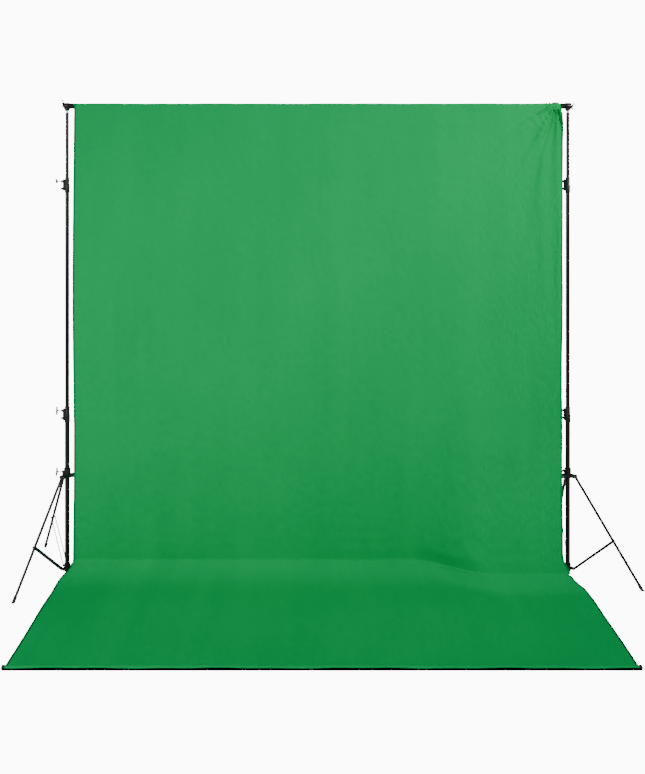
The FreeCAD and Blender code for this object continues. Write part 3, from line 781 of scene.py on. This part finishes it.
def refine(grid):
    """Twice as many rows and columns, by a smooth curve through the points."""
    for axis in (0, 1):
        moved = np.moveaxis(grid, axis, 0)
        before = np.concatenate([2 * moved[:1] - moved[1:2], moved[:-1]])
        after = np.concatenate([moved[1:], 2 * moved[-1:] - moved[-2:-1]])
        halfway = (9 * (moved[:-1] + moved[1:]) - before[:-1] - after[1:]) / 16
        out = np.zeros((2 * len(moved) - 1, *moved.shape[1:]))
        out[0::2], out[1::2] = moved, halfway
        grid = np.moveaxis(out, 0, axis)
    return grid


def hem_painted_shadow(grid, thickness):
    """Black sheet wrapped under the rolled front edge as painted shadow beneath it, following its ends."""
    ends = grid[HEM_ROW, :, 0]
    centre_z = LAID_Z + HEM_R - ROLL_INSET
    radius = HEM_R + 0.0010
    along = np.linspace(ends[0] - 0.001, ends[-1] + 0.001, 241)
    around = np.radians(np.linspace(-8, 112, 14))
    wave = 0.06 * np.sin(along * 9.0) + 0.04 * np.sin(along * 23.0 + 1)
    turn = around[:, None] * (1 + wave[None, :])
    tape = np.zeros((len(around), len(along), 3))
    tape[:, :, 0] = along
    tape[:, :, 1] = FRONT_Y - radius * np.sin(turn)
    tape[:, :, 2] = np.maximum(centre_z - radius * np.cos(turn), 0.0004)
    lengths = radius * (around - around[0])
    obj = grid_mesh("hem_painted_shadow", tape, 0, len(around) - 1, thickness, -grid_normals(tape), lengths,
                    np.linspace(0, 1, len(along)))
    return give(obj, "painted_shadow_finish")


def hem_cap(name, x, outward):
    """Domed end cap of the rolled front edge."""
    deselect()
    bpy.ops.mesh.primitive_cylinder_add(
        vertices=32, radius=HEM_R + 0.0012, depth=0.010, end_fill_type="NGON",
        location=(x, FRONT_Y, HEM_R + 0.0014), rotation=(0, math.pi / 2, 0))
    obj = settle(bpy.context.active_object)
    obj.name = name
    bpy.ops.object.mode_set(mode="EDIT")
    shape = bmesh.from_edit_mesh(obj.data)
    for face in shape.faces:
        face.select_set(face.normal.x * outward > 0.9)
    bmesh.update_edit_mesh(obj.data)
    bpy.ops.mesh.inset(thickness=0.004)
    bpy.ops.transform.translate(value=(outward * 0.003, 0, 0))
    bpy.ops.object.mode_set(mode="OBJECT")
    modify(obj, "BEVEL", width=0.0015, segments=3, limit_method="ANGLE", angle_limit=math.radians(20))
    smooth(obj)
    return give(obj, "moulding_finish")


class BACKDROP_OT_cloth(bpy.types.Operator):
    """Hangs the muslin from the bar and lays it over the floor"""
    bl_idname = "backdrop.cloth"
    bl_label = "Cloth"

    def execute(self, context):
        cloth = settings()[0]
        grid = shape_cloth(cloth_grid(cloth), cloth)
        grid = hang(grid, cloth)
        grid = refine(grid)
        rows, cols = grid.shape[:2]
        normals = grid_normals(grid)
        shares = np.interp(np.arange(cols), np.arange(0, cols, 2), columns())
        measured = grid[:, cols // 3]
        lengths = np.concatenate([[0], np.cumsum(np.linalg.norm(np.diff(measured, axis=0), axis=1))])
        below_pocket = np.arange(rows) > 2 * POCKET_ROWS
        upper_end = int(np.argmax((measured[:, 2] < STRIP_Z) & below_pocket))
        lower_end = int(np.argmax((measured[:, 2] < CORNER_Z) & below_pocket))
        laid = ["cloth_corner_left", "cloth_corner_right", "cloth_floor", "cloth_front_hem"]
        parts = (("cloth_hung_top", 0, upper_end, ["cloth_pocket", "cloth_upper"]),
                 ("cloth_hung_lower", upper_end, lower_end, ["cloth_lower"]),
                 ("cloth_on_floor", lower_end, rows - 1, laid))
        made = []
        for name, first, end, nodes in parts:
            obj = grid_mesh(name, grid, first, end, cloth.thickness, normals, lengths, shares)
            give(obj, "muslin_finish")
            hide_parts(*nodes)
            made.append((obj, lengths[end] - lengths[first]))
        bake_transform(made[0][0])
        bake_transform(made[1][0])
        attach(made[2][0], "base")
        # the black sheet under the rolled hem is painted shadow; the caps close the hem's ends
        hem_shadow_and_caps = [hem_painted_shadow(grid, cloth.thickness)]
        for side, x, outward in (("left", grid[HEM_ROW, 0, 0], -1), ("right", grid[HEM_ROW, -1, 0], 1)):
            hem_shadow_and_caps.append(hem_cap(f"{side}_hem_cap", x - outward * 0.001, outward))
        for piece in hem_shadow_and_caps:
            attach(piece, "base")
        return {"FINISHED"}


# ---------------------------------------------------------------- stands

class BACKDROP_OT_tubes(bpy.types.Operator):
    """Finishes the tubes, struts, rivets and bar that keep their own shape"""
    bl_idname = "backdrop.tubes"
    bl_label = "Tubes and rivets"

    def execute(self, context):
        for name, obj in frame["nodes"].items():
            if "crossbar" in name:
                give(obj, "bar_finish")
            elif "strut" in name:
                give(obj, "flat_finish")
            elif "rivets" in name or "spigot" in name:
                give(obj, "steel_finish")
            elif "tube" in name or "_leg_" in name:
                give(obj, "upright_finish")
        return {"FINISHED"}


class BACKDROP_OT_mouldings(bpy.types.Operator):
    """Rounds the clamps, hubs, sockets and feet"""
    bl_idname = "backdrop.mouldings"
    bl_label = "Mouldings"

    def execute(self, context):
        edge = settings()[1].edge
        moulded = ("moulding_finish", "black_plastic")
        footing = ("rubber_finish", "foot_rubber")
        kinds = {"lower_clamp": moulded, "upper_clamp": moulded, "leg_hub": moulded, "bottom_hub": moulded,
                 "bar_socket": ("casting_finish", "black_casting"),
                 "foot_1": footing, "foot_2": footing, "foot_3": footing,
                 "lower_knob": moulded, "upper_knob": moulded, "hub_knob": moulded,
                 "wing_screw": ("casting_finish", "black_plastic")}
        for side in SIDES:
            for kind, (material, slot) in kinds.items():
                node = f"{side}_{kind}"
                obj = rounded(node, f"{node}_finished", edge)
                give(obj, material)
                if "knob" in kind or "wing" in kind:
                    show_screw(obj, f"{node}_turn")
                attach(obj, body_holding(node))
        return {"FINISHED"}


# ---------------------------------------------------------------- stage

CAMERA_SHIFT = (0.0065, -0.2416)            # of the view, in shares of its longer side


def area_light(name, place, target, size, power, beam):
    """A large soft light aimed at a point, its beam narrowed to so many degrees."""
    data = bpy.data.lights.new(name, "AREA")
    data.shape, data.size, data.size_y = "RECTANGLE", size[0], size[1]
    data.energy, data.spread = power, math.radians(beam)
    obj = bpy.data.objects.new(name, data)
    obj.location = place
    obj.rotation_euler = (Vector(target) - Vector(place)).to_track_quat("-Z", "Y").to_euler()
    bpy.context.scene.collection.objects.link(obj)
    return obj


def seen_and_lit(tree, lit, seen, output):
    """Shows one shader to the camera and lights the scene by the other."""
    mix = add(tree, "ShaderNodeMixShader")
    tree.links.new(add(tree, "ShaderNodeLightPath").outputs["Is Camera Ray"], mix.inputs["Fac"])
    tree.links.new(lit, mix.inputs[1])
    tree.links.new(seen, mix.inputs[2])
    tree.links.new(mix.outputs["Shader"], tree.nodes[output].inputs["Surface"])


def pale_floor(stage):
    """A wide pale floor that looks as bright as the surround."""
    deselect()
    bpy.ops.mesh.primitive_circle_add(vertices=96, radius=14, fill_type="NGON", location=(MID_X, 0, -0.0005))
    floor = settle(bpy.context.active_object)
    floor.name = "studio_floor"
    material, tree, shader = new_material("pale_floor", Roughness=0.9)
    shader.inputs["Specular IOR Level"].default_value = 0.1
    shade = noise(tree, object_vector(tree), 0.8, 2, 0.5)
    tree.links.new(mix_colour(tree, shade, (0.93, 0.93, 0.93), (0.96, 0.96, 0.96)),
                   shader.inputs["Base Color"])
    glow = add(tree, "ShaderNodeEmission")
    glow.inputs["Strength"].default_value = stage.white
    seen_and_lit(tree, shader.outputs["BSDF"], glow.outputs["Emission"], "Material Output")
    floor.data.materials.append(material)


def white_surround(stage):
    """A surround that looks white and lights the scene only faintly."""
    world = bpy.data.worlds.new("white_surround")
    bpy.context.scene.world = world
    world.use_nodes = True
    tree = world.node_tree
    seen = tree.nodes["Background"]
    lit = add(tree, "ShaderNodeBackground")
    for background, strength in ((seen, stage.white), (lit, stage.fill)):
        background.inputs["Color"].default_value = (1, 1, 1, 1)
        background.inputs["Strength"].default_value = strength
    seen_and_lit(tree, lit.outputs["Background"], seen.outputs["Background"], "World Output")


def lights(stage):
    """Two large lights in front and a weaker one behind, all aimed about the stands' middle."""
    area_light("key_right", (MID_X + 3.2, STAND_Y - 3.6, 4.0), (MID_X + 0.75, STAND_Y, 2.35), (1.8, 1.8),
               stage.key * 1.1, 100)
    area_light("key_left", (MID_X - 3.6, STAND_Y - 4.0, 3.0), (MID_X - 1.1, STAND_Y - 0.2, 1.2), (2.2, 2.4),
               stage.key * 0.82, 95)
    area_light("back", (MID_X + 0.5, STAND_Y + 5.0, 3.6), (MID_X, STAND_Y, 1.2), (3.0, 2.4),
               stage.key * 0.5, 120)


def level_camera(stage):
    """A level camera straight in front of the stands, its view shifted down."""
    data = bpy.data.cameras.new("camera")
    data.lens = stage.lens
    data.shift_x, data.shift_y = CAMERA_SHIFT
    obj = bpy.data.objects.new("camera", data)
    obj.location = (MID_X, STAND_Y - stage.distance, stage.height)
    obj.rotation_euler = (math.radians(90), 0, 0)
    bpy.context.scene.collection.objects.link(obj)
    bpy.context.scene.camera = obj


class BACKDROP_OT_stage(bpy.types.Operator):
    """Makes the pale floor, the white surround, the lights and the camera"""
    bl_idname = "backdrop.stage"
    bl_label = "Stage"

    def execute(self, context):
        stage = settings()[2]
        pale_floor(stage)
        white_surround(stage)
        lights(stage)
        level_camera(stage)
        return {"FINISHED"}


class BACKDROP_PT_panel(bpy.types.Panel):
    """Lists the pieces of the background support"""
    bl_idname = "BACKDROP_PT_panel"
    bl_label = "Background Support"
    bl_space_type = "VIEW_3D"
    bl_region_type = "UI"
    bl_category = "Background"

    def draw(self, context):
        for group in ("backdrop_cloth", "backdrop_metal", "backdrop_stage"):
            values = getattr(context.scene, group)
            box = self.layout.box()
            for name in type(values).__annotations__:
                box.prop(values, name)
        for operator in OPERATORS:
            self.layout.operator(operator.bl_idname)


OPERATORS = (BACKDROP_OT_stage, BACKDROP_OT_tubes, BACKDROP_OT_mouldings, BACKDROP_OT_cloth)
CLASSES = (ClothSettings, MetalSettings, StageSettings, *OPERATORS, BACKDROP_PT_panel)


def register():
    """Registers the classes and their settings on the scene."""
    for cls in CLASSES:
        bpy.utils.register_class(cls)
    bpy.types.Scene.backdrop_cloth = bpy.props.PointerProperty(type=ClothSettings)
    bpy.types.Scene.backdrop_metal = bpy.props.PointerProperty(type=MetalSettings)
    bpy.types.Scene.backdrop_stage = bpy.props.PointerProperty(type=StageSettings)


def unregister():
    """Takes away what register added."""
    for name in ("backdrop_cloth", "backdrop_metal", "backdrop_stage"):
        delattr(bpy.types.Scene, name)
    for cls in reversed(CLASSES):
        bpy.utils.unregister_class(cls)


def main():
    """Builds the stage and every piece."""
    register()
    bpy.ops.backdrop.stage()
    bpy.ops.backdrop.tubes()
    bpy.ops.backdrop.mouldings()
    bpy.ops.backdrop.cloth()


if __name__ == "__main__":
    main()
